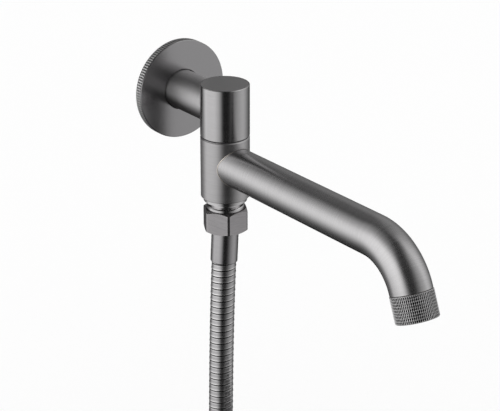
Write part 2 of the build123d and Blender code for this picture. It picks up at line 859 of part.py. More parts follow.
def least_gap_in_coil():
    """Smallest gap between parts of the coil that are over a quarter turn apart."""
    steps = 40 * coil_quarters
    points = [coil_path @ (k / steps) for k in range(steps + 1)]
    apart = steps // coil_quarters
    gaps = []
    for k in range(len(points)):
        for other in range(k + apart, len(points), 2):
            gaps.append((points[k] - points[other]).length)
    return min(gaps) - 2 * hose_radius


def make_coil_tie(quarter):
    """Strap round the turns at the coil's top or bottom."""
    angle = quarter * math.pi / 2
    first, last = coil_points[quarter], coil_points[quarter + coil_quarters - 4]
    span = (last - first).length
    along = Vector(0, -math.sin(angle), -math.cos(angle))
    place = Plane(origin=(first + last) * 0.5 - along * (tie_width / 2), x_dir=coil_side, z_dir=along)
    inner = hose_radius + tie_gap
    outer = inner + tie_thickness
    band = SlotCenterToCenter(span, 2 * outer) - SlotCenterToCenter(span, 2 * inner)
    return one(extrude(place * band, tie_width))


def make_end_ferrule():
    """Sleeve over the hose's end and the tailpiece's shank."""
    start, end = -hose_depth, handset_ferrule_length - hose_depth
    outline = [
        (hose_radius + seat_gap, start),
        (handset_ferrule_radius - ferrule_chamfer / 2, start),
        (handset_ferrule_radius, start + ferrule_chamfer),
        (handset_ferrule_radius, end),
        (tail_shank_radius + seat_gap, end),
        (tail_shank_radius + seat_gap, 0),
        (hose_radius + seat_gap, 0),
    ]
    return turned(outline, end_frame)


def make_end_tailpiece():
    return tailpiece(end_washer, 0, -1, end_frame)


handset_ledge = end_face - face_gap
handset_thread_start = end_washer + washer_face_thickness
handset_nut_end = handset_thread_start + handset_thread_depth
handset_cone_end = handset_ledge - handset_nut_wall


def make_handset_nut():
    """Cone-shaped nut, narrow at the hose, that turns freely on the tailpiece."""
    throat = handset_ferrule_radius + handset_throat_play
    relief = thread_bore_radius + handset_relief_depth
    small = throat + handset_throat_wall
    large = relief + handset_nut_wall
    start = handset_cone_end - handset_cone_length
    bevel = handset_nut_chamfer
    outline = [
        (throat, start),
        (small - bevel, start),
        (small, start + bevel),
        (large, handset_cone_end),
        (large, handset_nut_end - bevel),
        (large - bevel, handset_nut_end),
        (thread_bore_radius, handset_nut_end),
        (thread_bore_radius, handset_thread_start),
        (relief, handset_thread_start),
        (relief, handset_ledge),
        (throat, handset_ledge),
    ]
    return turned(outline, end_frame)


def make_handset_washer():
    return pipe(washer_outer_radius, washer_hole_radius, end_washer, handset_thread_start, end_frame)


# The spout's tip, from its upper edge down


def make_tip_sleeve():
    """Brazed into the tube's end; the collar turns on its neck."""
    seat = sleeve_seat_radius - seat_gap
    groove = sleeve_neck_radius - sleeve_groove_depth
    clip_groove = sleeve_neck_radius - tip_clip_depth
    disc_floor = sleeve_length - disc_thickness
    outline = [
        (sleeve_bore_radius, sleeve_back),
        (seat, sleeve_back),
        (seat, -collar_gap),
        (sleeve_neck_radius, -collar_gap),
        (sleeve_neck_radius, sleeve_groove_start),
        (groove, sleeve_groove_start),
        (groove, sleeve_groove_end),
        (sleeve_neck_radius, sleeve_groove_end),
        (sleeve_neck_radius, tip_clip_low),
        (clip_groove, tip_clip_low),
        (clip_groove, tip_clip_high),
        (sleeve_neck_radius, tip_clip_high),
        (sleeve_neck_radius, sleeve_length),
        (disc_radius + seat_gap, sleeve_length),
        (disc_radius + seat_gap, disc_floor),
        (sleeve_bore_radius, disc_floor),
    ]
    return turned(outline, tip)


def make_tip_oring():
    inner = sleeve_neck_radius - sleeve_groove_depth
    outer = sleeve_neck_radius + running_gap - seal_gap
    return oring(inner, outer, (sleeve_groove_start + sleeve_groove_end) / 2, tip)


def make_collar_clip():
    inner = sleeve_neck_radius - tip_clip_depth + seat_gap
    outer = collar_thread_radius - 2 * running_gap
    return tip * open_clip(outer, inner, tip_clip_low, tip_clip_high - face_gap)


def disc_with_ports(radius, low, high):
    """Ceramic disc with two opposite ports, so that a quarter turn shuts it."""
    disc = rod(radius, low, high)
    ring = pipe(disc_port_outer, disc_port_inner, low, high)
    for side in (90, 270):
        disc -= Rot(0, 0, side) * (ring & wedge(2 * disc_port_outer, disc_port_angle, low, high))
    return disc


def disc_key(gap, low, high):
    """Bar across the tip whose ends are the two keys that turn the lower disc."""
    length = 2 * (disc_key_radius + gap)
    return Pos(0, 0, (low + high) / 2) * Box(length, disc_key_width + 2 * gap, high - low)


def make_fixed_disc():
    return tip * one(disc_with_ports(disc_radius, sleeve_length - disc_thickness, sleeve_length))


def make_turning_disc():
    low, high = turning_disc_start, turning_disc_end
    root = (turning_disc_radius + disc_port_outer) / 2
    keys = disc_key(0, low, high) & pipe(2 * disc_key_radius, root, low, high)
    return tip * one(disc_with_ports(turning_disc_radius, low, high) + keys)


def make_disc_carrier():
    """Ring screwed into the collar that carries and turns the lower disc."""
    opening = turning_disc_radius - carrier_ledge_width
    outline = [
        (turning_disc_radius + seat_gap, turning_disc_start),
        (collar_thread_radius - seat_gap, turning_disc_start),
        (collar_thread_radius - seat_gap, carrier_end),
        (opening, carrier_end),
        (opening, turning_disc_end),
        (turning_disc_radius + seat_gap, turning_disc_end),
    ]
    return tip * one(turned(outline) - disc_key(seat_gap, turning_disc_start, turning_disc_end))


def make_spout_collar():
    """Knurled ring that is turned to open and shut the spout, threaded inside below its ledge."""
    edge = collar_edge_chamfer
    outline = [
        (sleeve_neck_radius + running_gap, 0),
        (collar_radius - edge, 0),
        (collar_radius, edge),
        (collar_radius, collar_length - edge),
        (collar_radius - edge, collar_length),
        (collar_thread_radius + edge, collar_length),
        (collar_thread_radius, collar_length - edge),
        (collar_thread_radius, collar_ledge),
        (sleeve_neck_radius + running_gap, collar_ledge),
    ]
    return turned(outline, tip)


def make_aerator_washer():
    outer = collar_thread_radius - aerator_washer_play
    return pipe(outer, aerator_bore_radius, carrier_end, aerator_start, tip)


def make_aerator_body():
    """Ring screwed into the collar, with a lip that holds the screen."""
    outer = collar_thread_radius - seat_gap
    outline = [
        (aerator_bore_radius, aerator_start),
        (outer, aerator_start),
        (outer, aerator_end - aerator_chamfer),
        (outer - aerator_chamfer, aerator_end),
        (aerator_lip_radius, aerator_end),
        (aerator_lip_radius, screen_end),
        (aerator_bore_radius, screen_end),
    ]
    return turned(outline, tip)


def make_aerator_screen():
    """Plate pierced by rings of round holes."""
    pitch = (aerator_lip_radius - screen_rim - screen_hole_radius) / screen_rings
    screen = rod(aerator_bore_radius - seat_gap, screen_start, screen_end)
    hole = rod(screen_hole_radius, screen_start, screen_end)
    screen -= hole
    for ring in range(1, screen_rings + 1):
        for k in range(6 * ring):
            screen -= Rot(0, 0, 60 * k / ring) * Pos(ring * pitch, 0, 0) * hole
    return tip * one(screen)


nodes = {
    "inlet_arm": make_inlet_arm(),
    "head_shell": make_head_shell(),
    "head_cap": make_head_cap(),
    "head_cap_oring": make_head_cap_oring(),
    "thrust_washer": make_thrust_washer(),
    "wall_flange": make_wall_flange(),
    "flange_oring": make_flange_oring(),
    "flange_gasket": make_flange_gasket(),
    "lower_body": make_lower_body(),
    "glide_ring": make_glide_ring(),
    "swivel_spigot": make_swivel_spigot(),
    "swivel_oring_upper": make_swivel_oring(upper_groove_low),
    "swivel_oring_lower": make_swivel_oring(lower_groove_low),
    "retaining_clip": make_retaining_clip(),
    "spout_tube": make_spout_tube(),
    "outlet_nipple": make_outlet_nipple(),
    "check_valve_body": make_check_valve_body(),
    "check_valve_seal": make_check_valve_seal(),
    "check_poppet": make_check_poppet(),
    "check_spring": make_check_spring(),
    "hose_washer": make_hose_washer(),
    "hose_nut": make_hose_nut(),
    "hose_tailpiece": make_hose_tailpiece(),
    "hose_ferrule": make_hose_ferrule(),
    "hose_free": make_hose_free(),
    "hose_coil": make_hose_coil(),
    "coil_tie_upper": make_coil_tie(3),
    "coil_tie_lower": make_coil_tie(1),
    "end_ferrule": make_end_ferrule(),
    "end_tailpiece": make_end_tailpiece(),
    "handset_nut": make_handset_nut(),
    "handset_washer": make_handset_washer(),
    "tip_sleeve": make_tip_sleeve(),
    "tip_oring": make_tip_oring(),
    "collar_clip": make_collar_clip(),
    "fixed_disc": make_fixed_disc(),
    "turning_disc": make_turning_disc(),
    "disc_carrier": make_disc_carrier(),
    "spout_collar": make_spout_collar(),
    "aerator_washer": make_aerator_washer(),
    "aerator_body": make_aerator_body(),
    "aerator_screen": make_aerator_screen(),
}

os.makedirs("parts", exist_ok=True)
for name, shape in nodes.items():
    export_step(shape, f"parts/{name}.step")

print("hose radii", [round(r) for r in hose_radii])
print("hose length", round(hose_line.length + coil_path.length, 1))
print("least gap between turns", round(least_gap_in_coil(), 2))
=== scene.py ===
# Wall bath spout with a hand-shower outlet, its looks
import bpy
import bmesh
import math
import numpy as np
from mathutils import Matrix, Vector


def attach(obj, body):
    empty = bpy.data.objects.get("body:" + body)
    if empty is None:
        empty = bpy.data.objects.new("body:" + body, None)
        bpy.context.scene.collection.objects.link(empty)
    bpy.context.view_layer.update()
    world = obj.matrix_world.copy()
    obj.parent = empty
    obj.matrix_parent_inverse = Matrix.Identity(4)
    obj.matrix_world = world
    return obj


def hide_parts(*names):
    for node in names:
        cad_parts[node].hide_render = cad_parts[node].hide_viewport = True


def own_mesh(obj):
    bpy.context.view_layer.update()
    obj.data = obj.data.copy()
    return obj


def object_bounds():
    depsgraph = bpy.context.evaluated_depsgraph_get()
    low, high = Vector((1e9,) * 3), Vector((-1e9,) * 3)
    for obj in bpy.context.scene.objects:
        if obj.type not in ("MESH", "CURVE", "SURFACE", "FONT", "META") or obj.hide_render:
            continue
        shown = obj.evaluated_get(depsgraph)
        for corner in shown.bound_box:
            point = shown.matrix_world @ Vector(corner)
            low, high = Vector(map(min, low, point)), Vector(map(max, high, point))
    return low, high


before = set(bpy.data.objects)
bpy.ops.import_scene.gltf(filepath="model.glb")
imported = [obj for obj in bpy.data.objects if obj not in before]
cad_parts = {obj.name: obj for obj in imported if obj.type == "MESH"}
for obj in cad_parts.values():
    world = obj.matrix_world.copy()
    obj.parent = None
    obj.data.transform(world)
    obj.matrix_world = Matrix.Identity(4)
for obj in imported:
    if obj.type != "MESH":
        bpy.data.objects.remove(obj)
for leftover in ("Cube", "Light", "Camera"):
    if leftover in bpy.data.objects:
        bpy.data.objects.remove(bpy.data.objects[leftover])
cadBox = [list(corner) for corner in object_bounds()]
mm = 0.001
mergeWithin = 1e-7  # metres
tiny = 1e-6  # slack when heights and radii are compared
print("frame loaded:", len(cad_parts), "pieces")

# Camera, as the photograph was taken

photoCamera = {
    "place": (-540.23, -794.16, 326.23),  # mm
    "towards": (0.551156, 0.741341, -0.383078),
    "lens": 130.5,
    "sensor": 36.0,
}
cameraData = bpy.data.cameras.new("camera")
cameraData.lens = photoCamera["lens"]
cameraData.sensor_width = photoCamera["sensor"]
camera = bpy.data.objects.new("camera", cameraData)
camera.location = Vector(photoCamera["place"]) * mm
camera.rotation_mode = "QUATERNION"
camera.rotation_quaternion = Vector(photoCamera["towards"]).to_track_quat("-Z", "Y")
bpy.context.scene.collection.objects.link(camera)
bpy.context.scene.camera = camera
bpy.context.scene.view_settings.view_transform = "Standard"

# Sizes that several pieces share, in mm

column = {"reach": 44.8, "radius": 13.5}  # its axis stands that far off the wall
spout = {
    "radius": 11.0,
    "height": -30.9,
    "straight": 125.4,  # from the column's axis to the bend
    "bendRadius": 31.2,
    "bendAngle": 68.0,  # degrees
    "collarGap": 0.7,  # from the end of the bend to the collar
}
bendTurn = math.radians(spout["bendAngle"])
bendStartY = -column["reach"] - spout["straight"]
bendMiddleZ = spout["height"] - spout["bendRadius"]
tipAxis = np.array([0.0, -math.cos(bendTurn), -math.sin(bendTurn)])
bendOutward = np.array([0.0, -math.sin(bendTurn), math.cos(bendTurn)])
bendEnd = np.array([0.0, bendStartY, bendMiddleZ]) + spout["bendRadius"] * bendOutward

# Meshes from grids of points


def gridFaces(rows, columns, wrapRows, climb=0):
    # every face of a grid that closes round its columns; a full turn climbs by that many rows
    r, c = np.meshgrid(np.arange(rows), np.arange(columns), indexing="ij")
    r, c = r.ravel(), c.ravel()
    cornerRows = np.stack([r, r, r + 1, r + 1], axis=1)
    cornerColumns = np.stack([c, c + 1, c + 1, c], axis=1)
    landed = cornerRows + np.where(cornerColumns == columns, climb, 0)
    if wrapRows:
        landed = landed % rows
        keep = np.ones(len(r), bool)
    else:
        keep = ((landed >= 0) & (landed < rows)).all(axis=1)
    corners = landed * columns + cornerColumns % columns
    return corners[keep], cornerRows[keep], cornerColumns[keep]


def meshFromFaces(name, points, corners, uv=None, merge=False, sharpAngle=35.0):
    # points is an array of places in metres, corners the four point numbers of each face
    mesh = bpy.data.meshes.new(name)
    mesh.vertices.add(len(points))
    mesh.vertices.foreach_set("co", np.ascontiguousarray(points, dtype=np.float32).ravel())
    mesh.loops.add(corners.size)
    mesh.loops.foreach_set("vertex_index", corners.astype(np.int32).ravel())
    mesh.polygons.add(len(corners))
    mesh.polygons.foreach_set("loop_start", np.arange(len(corners), dtype=np.int32) * corners.shape[1])
    mesh.update(calc_edges=True)
    if uv is not None:
        layer = mesh.uv_layers.new(name="UVMap")
        layer.data.foreach_set("uv", uv.astype(np.float32).ravel())
    work = bmesh.new()
    work.from_mesh(mesh)
    if merge:
        bmesh.ops.remove_doubles(work, verts=work.verts, dist=mergeWithin)
        openEdges = [edge for edge in work.edges if edge.is_boundary]
        bmesh.ops.holes_fill(work, edges=openEdges, sides=0)
    bmesh.ops.recalc_face_normals(work, faces=work.faces)
    work.to_mesh(mesh)
    work.free()
    mesh.shade_smooth()
    mesh.set_sharp_from_angle(angle=math.radians(sharpAngle))
    return mesh


def addPiece(name, mesh, body, stands=()):
    piece = bpy.data.objects.new(name, mesh)
    bpy.context.scene.collection.objects.link(piece)
    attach(piece, body)
    if stands:
        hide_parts(*stands)
    return piece


def splitEdge(corners, edge, count):
    # the same closed outline, with the edge after one of its corners split into so many equal parts
    start, stop = np.array(corners[edge], float), np.array(corners[edge + 1], float)
    inner = start + (stop - start) * (np.arange(1, count) / count)[:, None]
    return np.concatenate([corners[: edge + 1], inner, corners[edge + 1 :]])


def turnedMesh(name, outline, columns, origin, axis, relief):
    # a closed outline of (radius, height) carried round an axis that is square to X; what
    # relief(angle, outline) gives is taken off the radius
    side = np.cross(axis, (1.0, 0.0, 0.0))
    other = np.cross(axis, side)
    angle = np.arange(columns) * 2 * math.pi / columns
    radius = outline[:, :1] - relief(angle[None, :], outline)
    around = side * np.cos(angle)[:, None] + other * np.sin(angle)[:, None]
    points = radius[:, :, None] * around + axis * outline[:, 1][:, None, None]
    corners, _, _ = gridFaces(len(outline), columns, True)
    mesh = meshFromFaces(name, (points.reshape(-1, 3) + origin) * mm, corners)
    # how deep each point lies below the turned surface, for the finish's painted shade in the pits
    hollow = mesh.attributes.new("hollow", "FLOAT", "POINT")
    hollow.data.foreach_set("value", (outline[:, :1] - radius).astype(np.float32).ravel())
    return mesh


def tubePoints(line, first, second, radius, sides):
    # a circle round each point of the line, in the plane of the two directions given there
    angle = np.arange(sides) * 2 * math.pi / sides
    ring = first[:, None] * np.cos(angle)[None, :, None] + second[:, None] * np.sin(angle)[None, :, None]
    return (line[:, None] + ring * radius).reshape(-1, 3)


# Hose: the route's own points, then the coil's turns

hoseSizes = {
    "length": 1500.6,  # mm
    "radius": 7.0,
    "ribPitch": 3.73,
    "firstRib": 1.7,  # pitches by which the strip starts above the hose's end
    "columns": 28,
    # share of the pitch and radius: a seam, then a band that flares out to its lower lip
    "rib": [(0.0, 6.42), (0.1, 6.74), (0.28, 6.82), (0.52, 6.82), (0.7, 6.88), (0.84, 7.0), (0.95, 6.93)],
    "curveSteps": 24,  # from one corner of the route to the next
    "coilTurns": 3,
    "pointsPerTurn": 16,
    "coilRadius": 69.15,
    "coilSpacing": 14.9,
    "coilLead": 14.0,  # straight stretch before the first turn
    "coilTail": 24.2,  # and after the last
    "coilFlare": 5.0,  # mm sideways over the last turns
    "flareTurns": 0.5,
}
routePoints = [
    (-0.9159, -44.8, -83.676),
    (-2.2766, -44.8, -109.6404),
    (-3.5226, -44.8, -151.6219),
    (-4.3394, -44.8, -203.6155),
    (-3.037, -44.8, -241.5932),
]


def downward(slope, length):
    # a straight step down that leans sideways by a slope
    return np.array([slope, 0.0, -1.0]) * length / math.hypot(slope, 1)


def coilPoints(top, s):
    # corners of a ring that touches the turns half way between them, moved sideways as the turns climb,
    # and the end of the straight stretch after them
    aTurn = 2 * math.pi * s["coilRadius"]
    slope = s["coilSpacing"] / aTurn
    endSlope = slope + s["coilFlare"] / (s["flareTurns"] * aTurn)
    entry = top + downward(slope, s["coilLead"])
    turns = (np.arange(s["coilTurns"] * s["pointsPerTurn"]) + 0.5) / s["pointsPerTurn"]
    flare = s["coilFlare"] * np.clip((turns - s["coilTurns"]) / s["flareTurns"] + 1, 0, 1)
    angle = turns * 2 * math.pi
    reach = s["coilRadius"] / math.cos(math.pi / s["pointsPerTurn"])
    sideways = s["coilSpacing"] * turns + flare
    ring = np.stack([sideways, reach * np.cos(angle) - s["coilRadius"], -reach * np.sin(angle)], axis=1)
    leaving = entry + (s["coilSpacing"] * s["coilTurns"] + s["coilFlare"], 0, 0)
    return [*(entry + ring), leaving + downward(endSlope, s["coilTail"])]


def readSpline(points, steps):
    # a smooth curve through the route's control points, read back as a dense line
    curve = bpy.data.curves.new("hoseRoute", "CURVE")
    curve.dimensions = "3D"
    curve.resolution_u = steps
    spline = curve.splines.new("NURBS")
    spline.points.add(len(points) - 1)
    spline.points.foreach_set("co", np.c_[points * mm, np.ones(len(points))].ravel())
    spline.order_u = 3
    spline.use_endpoint_u = True
    holder = bpy.data.objects.new("hoseRoute", curve)
    line = bpy.data.meshes.new_from_object(holder)
    read = np.empty(len(line.vertices) * 3)
    line.vertices.foreach_get("co", read)
    bpy.data.objects.remove(holder)
    bpy.data.meshes.remove(line)
    return read.reshape(-1, 3)


def hoseMesh(line, s):
    # a helical grid: each row is one turn of the strip, set off along the line by its share of the pitch
    gaps = np.linalg.norm(np.diff(line, axis=0), axis=1)
    along = np.r_[0, np.cumsum(gaps)]
    total = along[-1]
    tangent = np.gradient(line, along, axis=0)
    shares, radii = np.array(s["rib"]).T
    perRib, columns, pitch = len(shares), s["columns"], s["ribPitch"] * mm
    rows = (math.ceil(total / pitch) + 2) * perRib + 1  # whole ribs past both ends, cut off there
    row = np.arange(rows)
    ribPlace = row // perRib + shares[row % perRib]
    turn = np.arange(columns) / columns
    place = np.clip((ribPlace[:, None] + turn[None, :] - s["firstRib"]) * pitch, 0, total)
    centre = np.stack([np.interp(place, along, line[:, k]) for k in range(3)], axis=-1)
    forward = np.stack([np.interp(place, along, tangent[:, k]) for k in range(3)], axis=-1)
    forward /= np.linalg.norm(forward, axis=-1, keepdims=True)
    second = np.cross(forward, (1.0, 0.0, 0.0))
    second /= np.linalg.norm(second, axis=-1, keepdims=True)
    first = np.cross(second, forward)
    angle = turn[None, :, None] * 2 * math.pi
    radius = radii[row % perRib][:, None, None] * mm
    points = centre + (first * np.cos(angle) + second * np.sin(angle)) * radius
    corners, cornerRows, cornerColumns = gridFaces(rows, columns, False, perRib)
    ribAt = cornerRows // perRib + shares[cornerRows % perRib]
    uv = np.stack([cornerColumns / columns, ribAt], axis=-1).reshape(-1, 2)
    return meshFromFaces("hose", points.reshape(-1, 3), corners, uv, merge=True, sharpAngle=50.0)


hoseCorners = np.array(routePoints + coilPoints(routePoints[-1], hoseSizes))
hoseLine = readSpline(hoseCorners, hoseSizes["curveSteps"])
hose = addPiece("hose", hoseMesh(hoseLine, hoseSizes), "swivel", ("hose_free", "hose_coil"))
print("hose:", len(hose.data.polygons), "faces")

# Knurled pieces

pitWaves = {"flute": (0.75, 1.35), "row": (0.9, 1.1)}  # level and swing of each clipped cosine
outerWall = 2  # the corner of either outline where its cut wall begins


def pits(angle, along, s):
    # flutes round the axis, a clipped cosine with steep walls; between two rows a second one, along the
    # axis, fills them up to the bridge's share of their depth
    level, swing = pitWaves["flute"]
    around = np.clip(level - swing * np.cos(angle * s["count"]), 0, 1)
    level, swing = pitWaves["row"]
    down = np.clip(level - swing * np.cos(along * s["rows"] * 2 * math.pi), 0, 1)
    return s["depth"] * around * (s["bridge"] + (1 - s["bridge"]) * down)


def knurlRelief(s, low, high):
    # the pits on the outer wall between two heights, and nothing elsewhere
    def relief(angle, outline):
        share = (outline[:, 1:] - low) / (high - low)
        outside = (outline[:, :1] > s["radius"] - tiny) & (share > -tiny) & (share < 1 + tiny)
        return np.where(outside, pits(angle, np.clip(share, 0, 1), s), 0.0)

    return relief


collar = {
    "origin": bendEnd + tipAxis * spout["collarGap"],  # mm, middle of its upper edge
    "radius": 11.265,
    "length": 13.975,
    "edge": 0.3,
    "neck": 8.82,
    "bore": 9.6,
    "ledge": 4.6,
    "count": 68,  # flutes round it
    "rows": 9,  # pits along each
    "depth": 0.4,
    "bridge": 0.35,  # share of the depth left between two pits
    "samples": 10,  # points across each tooth
    "rowSamples": 10,
}
edge = collar["edge"]
collarOutline = splitEdge(
    [
        (collar["neck"], 0),
        (collar["radius"] - edge, 0),
        (collar["radius"], edge),
        (collar["radius"], collar["length"] - edge),
        (collar["radius"] - edge, collar["length"]),
        (collar["bore"] + edge, collar["length"]),
        (collar["bore"], collar["length"] - edge),
        (collar["bore"], collar["ledge"]),
        (collar["neck"], collar["ledge"]),
    ],
    outerWall,
    collar["rows"] * collar["rowSamples"],
)
collarMesh = turnedMesh(
    "knurledCollar",
    collarOutline,
    collar["count"] * collar["samples"],
    collar["origin"],
    tipAxis,
    knurlRelief(collar, edge, collar["length"] - edge),
)
knurledCollar = addPiece("knurledCollar", collarMesh, "collar", ("spout_collar",))
print("collar:", len(collarMesh.polygons), "faces")

flange = {
    "radius": 27.9,  # mm; its back lies on the wall, at the frame's origin
    "thickness": 4.7,
    "hole": 11.3,
    "bevel": 0.35,
    "recess": 24.7,
    "webBack": -2.9,
    "hub": 16.0,
    "count": 116,
    "rows": 3,
    "depth": 0.3,
    "bridge": 0.2,
    "samples": 10,
    "rowSamples": 7,
    "rimMargin": 0.05,  # how far below the deepest pit the rim's finish reaches
}
bevel = flange["bevel"]
flangeOutline = splitEdge(
    [
        (flange["hole"] + bevel, -flange["thickness"]),
        (flange["radius"] - bevel, -flange["thickness"]),
        (flange["radius"], bevel - flange["thickness"]),
        (flange["radius"], 0),
        (flange["recess"], 0),
        (flange["recess"], flange["webBack"]),
        (flange["hub"], flange["webBack"]),
        (flange["hub"], -bevel),
        (flange["hole"], -bevel),
        (flange["hole"], bevel - flange["thickness"]),
    ],
    outerWall,
    flange["rows"] * flange["rowSamples"],
)
flangeMesh = turnedMesh(
    "flangePlate",
    flangeOutline,
    flange["count"] * flange["samples"],
    np.zeros(3),
    np.array([0.0, 1.0, 0.0]),
    knurlRelief(flange, bevel - flange["thickness"], 0.0),
)
flangePlate = addPiece("flangePlate", flangeMesh, "flange", ("wall_flange",))
print("flange:", len(flangeMesh.polygons), "faces")

# Wall arm with its pipe thread

arm = {
    "radius": 11.0,
    "bore": 6.5,
    "cope": 11.9,  # radius round the column's axis at which it ends
    "rings": 12,  # along the plain stretch, and along each pitch of the thread
    "reliefRadius": 9.3,
    "threadStart": 3.0,
    "threadFade": 1.2,
    "stub": 15.0,
    "crest": 10.48,
    "root": 9.35,
    "pitch": 1.814,
    "crestFlat": 1.25,  # the triangle wave grows by this before its tops are cut flat
    "chamfer": 1.0,
    "columns": 96,
}


def armMesh(s):
    # rings along Y; the radius in the thread is a triangle wave that climbs one pitch per turn,
    # faded in at its start, and the front rings are drawn back to a circle round the column
    angle = np.arange(s["columns"]) * 2 * math.pi / s["columns"]
    front = -column["reach"] + np.sqrt(s["cope"] ** 2 - (s["radius"] * np.cos(angle)) ** 2)
    share = np.linspace(0, 1, s["rings"])[:, None]
    thread = np.arange(0, s["stub"], s["pitch"] / s["rings"])[:, None]
    wave = np.abs(((thread / s["pitch"] - angle / (2 * math.pi)) % 1) * 2 - 1)
    fadeIn = np.clip((thread - s["threadStart"]) / s["threadFade"], 0, 1)
    limit = s["crest"] - np.maximum(thread - (s["stub"] - s["chamfer"]), 0)
    body = s["reliefRadius"] + (s["root"] - s["reliefRadius"]) * fadeIn
    tooth = (s["crest"] - s["root"]) * np.clip(wave * s["crestFlat"], 0, 1) * fadeIn
    # each stretch of rings as its places along Y and its radii
    stretches = [
        (front * (1 - share), s["radius"]),
        (thread, np.minimum(body + tooth, limit)),
        (s["stub"], s["crest"] - s["chamfer"]),
        (s["stub"], s["bore"]),
        (front, s["bore"]),
    ]
    filled = [np.broadcast_arrays(y, radius, angle[None, :]) for y, radius in stretches]
    y, radius, turn = (np.concatenate(part) for part in zip(*filled))
    points = np.stack([radius * np.cos(turn), y, radius * np.sin(turn)], axis=-1) * mm
    corners, _, _ = gridFaces(len(y), s["columns"], True)
    return meshFromFaces("wallArm", points.reshape(-1, 3), corners)


wallArm = addPiece("wallArm", armMesh(arm), "wall_side", ("inlet_arm",))
print("arm:", len(wallArm.data.polygons), "faces")

# Brazed joints: a thin bead where a tube meets the column

joints = {"bead": 0.25, "steps": 160, "sides": 8}


def beadMesh(name, s, tubeRadius, height, side):
    # the line where two cylinders cross at right angles, with a small circle carried along it
    angle = np.arange(s["steps"]) * 2 * math.pi / s["steps"]
    outward = np.stack([np.cos(angle), np.zeros_like(angle), np.sin(angle)], axis=-1)
    line = outward * tubeRadius
    line[:, 1] = side * np.sqrt(column["radius"] ** 2 - line[:, 0] ** 2)
    tangent = np.roll(line, -1, axis=0) - np.roll(line, 1, axis=0)
    tangent /= np.linalg.norm(tangent, axis=1, keepdims=True)
    second = np.cross(tangent, outward)
    second /= np.linalg.norm(second, axis=1, keepdims=True)
    first = np.cross(second, tangent)
    points = tubePoints(line, first, second, s["bead"], s["sides"]) + (0, -column["reach"], height)
    corners, _, _ = gridFaces(s["steps"], s["sides"], True)
    return meshFromFaces(name, points * mm, corners, sharpAngle=80.0)


spoutBeadMesh = beadMesh("spoutBead", joints, spout["radius"], spout["height"], -1)
spoutBead = addPiece("spoutBead", spoutBeadMesh, "swivel")
armBead = addPiece("armBead", beadMesh("armBead", joints, arm["radius"], 0.0, 1), "wall_side")
print("beads made")

# Spring of the non-return valve, one fixed coil; its poppet presses it together as it opens

spring = {
    "low": -60.23,  # mm
    "high": -51.92,
    "coil": 2.05,
    "wire": 0.25,
    "turns": 4,
    "steps": 160,
    "sides": 12,
    "opened": 2.4,  # how far the poppet presses it together
    "slack": 0.05,
}


def springMesh(s):
    # a circle of the wire's radius carried along a helix
    turn = np.linspace(0, s["turns"], s["steps"] + 1) * 2 * math.pi
    cosine, sine, level = np.cos(turn), np.sin(turn), np.zeros_like(turn)
    climb = (s["high"] - s["low"]) / (s["turns"] * 2 * math.pi)
    outward = np.stack([cosine, sine, level], axis=-1)
    line = outward * s["coil"] + np.stack([level, level - column["reach"], s["low"] + climb * turn], axis=-1)
    tangent = np.stack([-sine * s["coil"], cosine * s["coil"], level + climb], axis=-1)
    tangent /= np.linalg.norm(tangent, axis=1, keepdims=True)
    points = tubePoints(line, outward, np.cross(outward, tangent), s["wire"], s["sides"])
    corners, _, _ = gridFaces(s["steps"] + 1, s["sides"], False)
    return meshFromFaces("checkSpring", points * mm, corners, merge=True, sharpAngle=50.0)


checkSpring = addPiece("checkSpring", springMesh(spring), "swivel", ("check_spring",))
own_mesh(checkSpring)
print("spring made")

# Effects that several finishes share


def link(tree, start, stop):
    tree.links.new(start, stop)


def feed(tree, socket, value):
    # a number or a colour is set on the socket, anything else is linked to it
    if isinstance(value, (int, float)):
        socket.default_value = value
    elif isinstance(value, tuple):
        socket.default_value = (*value, 1.0)
    else:
        link(tree, value, socket)


def newGroup(name, inputs, outputs):
    # inputs and outputs are pairs of a label and a kind of socket
    group = bpy.data.node_groups.new(name, "ShaderNodeTree")
    for direction, pairs in (("INPUT", inputs), ("OUTPUT", outputs)):
        for label, kind in pairs:
            group.interface.new_socket(name=label, in_out=direction, socket_type=kind)
    return group, group.nodes.new("NodeGroupInput"), group.nodes.new("NodeGroupOutput")


def placeGroup(tree, group):
    node = tree.nodes.new("ShaderNodeGroup")
    node.node_tree = group
    return node


def mathNode(tree, operation, *values):
    node = tree.nodes.new("ShaderNodeMath")
    node.operation = operation
    for socket, value in zip(node.inputs, values):
        feed(tree, socket, value)
    return node.outputs[0]


def timesPlus(tree, value, factor, base):
    # the value times a factor, plus a base
    return mathNode(tree, "ADD", mathNode(tree, "MULTIPLY", value, factor), base)


def noiseNode(tree, vector, scale, detail):
    node = tree.nodes.new("ShaderNodeTexNoise")
    node.inputs["Scale"].default_value = scale
    node.inputs["Detail"].default_value = detail
    link(tree, vector, node.inputs["Vector"])
    return node.outputs["Fac"]


def rangeNode(tree, value, low, high, newLow=0.0, newHigh=1.0, smooth=False):
    node = tree.nodes.new("ShaderNodeMapRange")
    node.interpolation_type = "SMOOTHSTEP" if smooth else "LINEAR"
    for label, number in (("From Min", low), ("From Max", high), ("To Min", newLow), ("To Max", newHigh)):
        feed(tree, node.inputs[label], number)
    link(tree, value, node.inputs["Value"])
    return node.outputs["Result"]


def mixColours(tree, factor, first, second):
    node = tree.nodes.new("ShaderNodeMix")
    node.data_type = "RGBA"
    # a Mix node holds the sockets of every data type; these are its factor and its two colours
    for socket, value in ((node.inputs[0], factor), (node.inputs[6], first), (node.inputs[7], second)):
        feed(tree, socket, value)
    return node.outputs[2]


def splitVector(tree, vector):
    node = tree.nodes.new("ShaderNodeSeparateXYZ")
    link(tree, vector, node.inputs[0])
    return node.outputs


def joinVector(tree, x, y, z):
    node = tree.nodes.new("ShaderNodeCombineXYZ")
    for socket, value in zip(node.inputs, (x, y, z)):
        feed(tree, socket, value)
    return node.outputs["Vector"]


